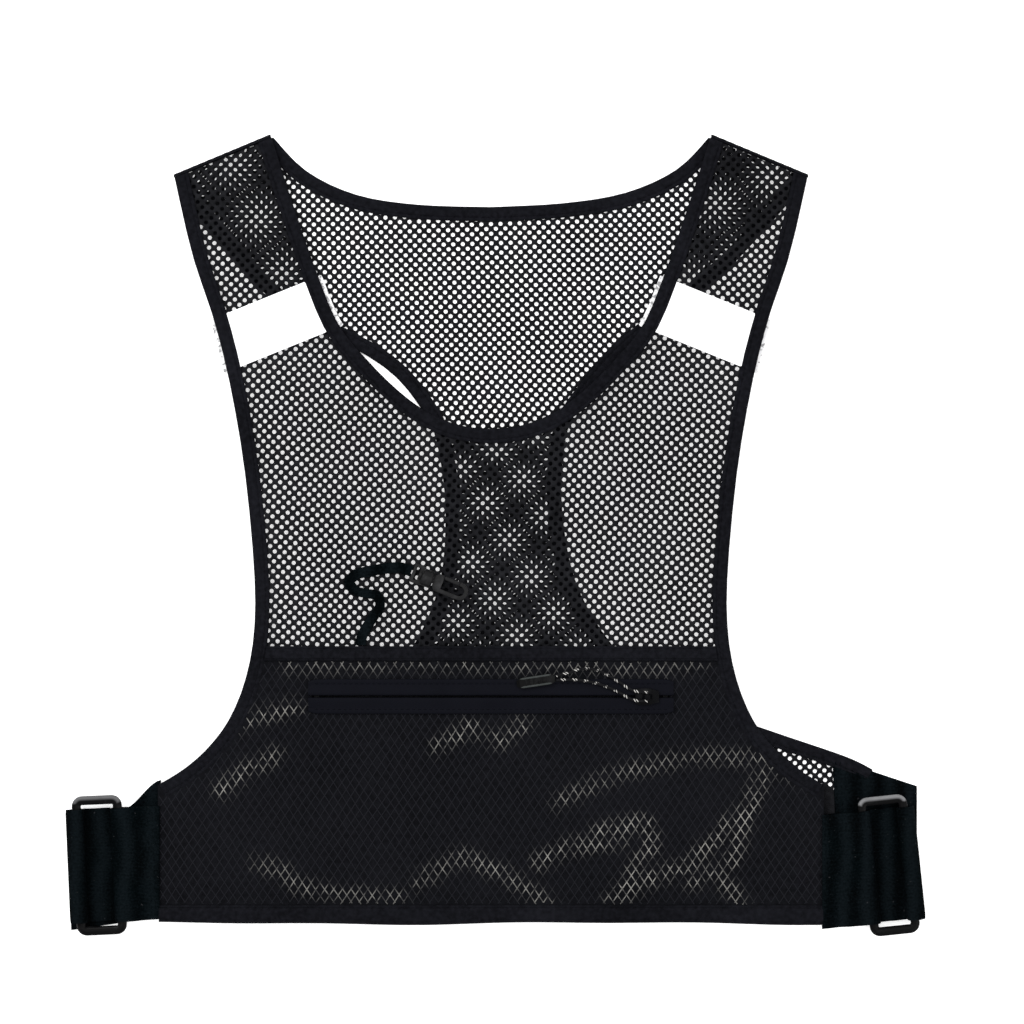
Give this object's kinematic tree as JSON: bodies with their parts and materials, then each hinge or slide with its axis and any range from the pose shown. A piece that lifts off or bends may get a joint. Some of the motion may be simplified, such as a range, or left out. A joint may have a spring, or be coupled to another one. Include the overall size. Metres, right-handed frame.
{
  "type": "mesh running vest",
  "caption": "Black mesh running vest with racerback, zipped waist pocket, key leash, reflective bands and stretch side straps on rectangular rings, lying flat.",
  "frame": {"origin": "on the surface the vest lies on, under the middle of its outline, leash and hook left out", "axes": "+Z out of the front of the vest, +Y towards the neck, +X towards the zip's closed end"},
  "size_m": [0.4716, 0.44, 0.0141],
  "materials": {
    "mesh_cloth": "open round-hole warp-knit mesh, matt black",
    "binding_tape": "folded stretch binding, fine rib, matt black",
    "braided_cord": "thin round braid, black with light flecks",
    "pocket_cloth": "thin woven pocket cloth under a diamond net, slight sheen",
    "zip_fabric": "smooth coated zip tape, satin dark grey",
    "elastic_webbing": "wide ribbed elastic, matt black",
    "black_plastic": "moulded plastic with a soft gloss",
    "reflective_tape": "white silver reflective tape",
    "dark_metal": "black painted metal, satin"
  },
  "bodies": {
    "vest": {"back_mesh": "mesh_cloth", "front_mesh": "mesh_cloth", "shoulder_fold_left": "mesh_cloth", "shoulder_fold_right": "mesh_cloth", "back_neck_binding": "binding_tape", "back_armhole_binding_left": "binding_tape", "back_armhole_binding_right": "binding_tape", "back_hem_binding": "binding_tape", "front_neck_binding": "binding_tape", "front_armhole_binding_left": "binding_tape", "front_armhole_binding_right": "binding_tape", "hem_binding": "binding_tape", "pocket_top_band": "binding_tape", "pocket_panel": "pocket_cloth", "zip_tape_upper": "zip_fabric", "zip_tape_lower": "zip_fabric", "zip_coil_upper": "zip_fabric", "zip_coil_lower": "zip_fabric", "side_strap_left": "elastic_webbing", "side_strap_right": "elastic_webbing", "side_tab_left": "elastic_webbing", "side_tab_right": "elastic_webbing", "leash_strap": "elastic_webbing", "hook_base": "black_plastic", "reflector_front_left": "reflective_tape", "reflector_front_right": "reflective_tape", "reflector_rear_left": "reflective_tape", "reflector_rear_right": "reflective_tape", "zip_stop_left": "dark_metal", "zip_stop_right": "dark_metal"},
    "zip_slider": {"zip_slider": "dark_metal"},
    "zip_pull": {"pull_cord": "braided_cord", "pull_tab": "black_plastic"},
    "left_ring": {"ring_left": "black_plastic", "strap_end_left": "elastic_webbing"},
    "right_ring": {"ring_right": "black_plastic", "strap_end_right": "elastic_webbing"},
    "hook": {"hook_body": "black_plastic"},
    "hook_gate": {"hook_gate": "black_plastic"}
  },
  "joints": [
    {"name": "zip_slide", "type": "slide", "parent": "vest", "child": "zip_slider", "axis": [-1, 0, 0], "range_m": [0, 0.172]},
    {"name": "pull_flip", "type": "hinge", "parent": "zip_slider", "child": "zip_pull", "pos_m": [0.08295, -0.08852, 0.0101], "axis": [0, 1, 0], "range_deg": [0, 160]},
    {"name": "left_ring_tilt", "type": "hinge", "parent": "vest", "child": "left_ring", "pos_m": [-0.20581, -0.18053, 0.0062], "axis": [-0.0436, 0.999, 0], "range_deg": [0, 30]},
    {"name": "right_ring_tilt", "type": "hinge", "parent": "vest", "child": "right_ring", "pos_m": [0.20406, -0.1822, 0.0062], "axis": [0.1045, -0.9945, 0], "range_deg": [0, 30]},
    {"name": "hook_swivel", "type": "hinge", "parent": "vest", "child": "hook", "pos_m": [-0.03725, -0.02382, 0.0093], "axis": [0.9272, -0.3746, 0], "continuous": true},
    {"name": "gate_open", "type": "hinge", "parent": "hook", "child": "hook_gate", "pos_m": [-0.02693, -0.02389, 0.0093], "axis": [0, 0, -1], "range_deg": [0, 25], "stiffness_Nm_per_rad": 0.02}
  ]
}
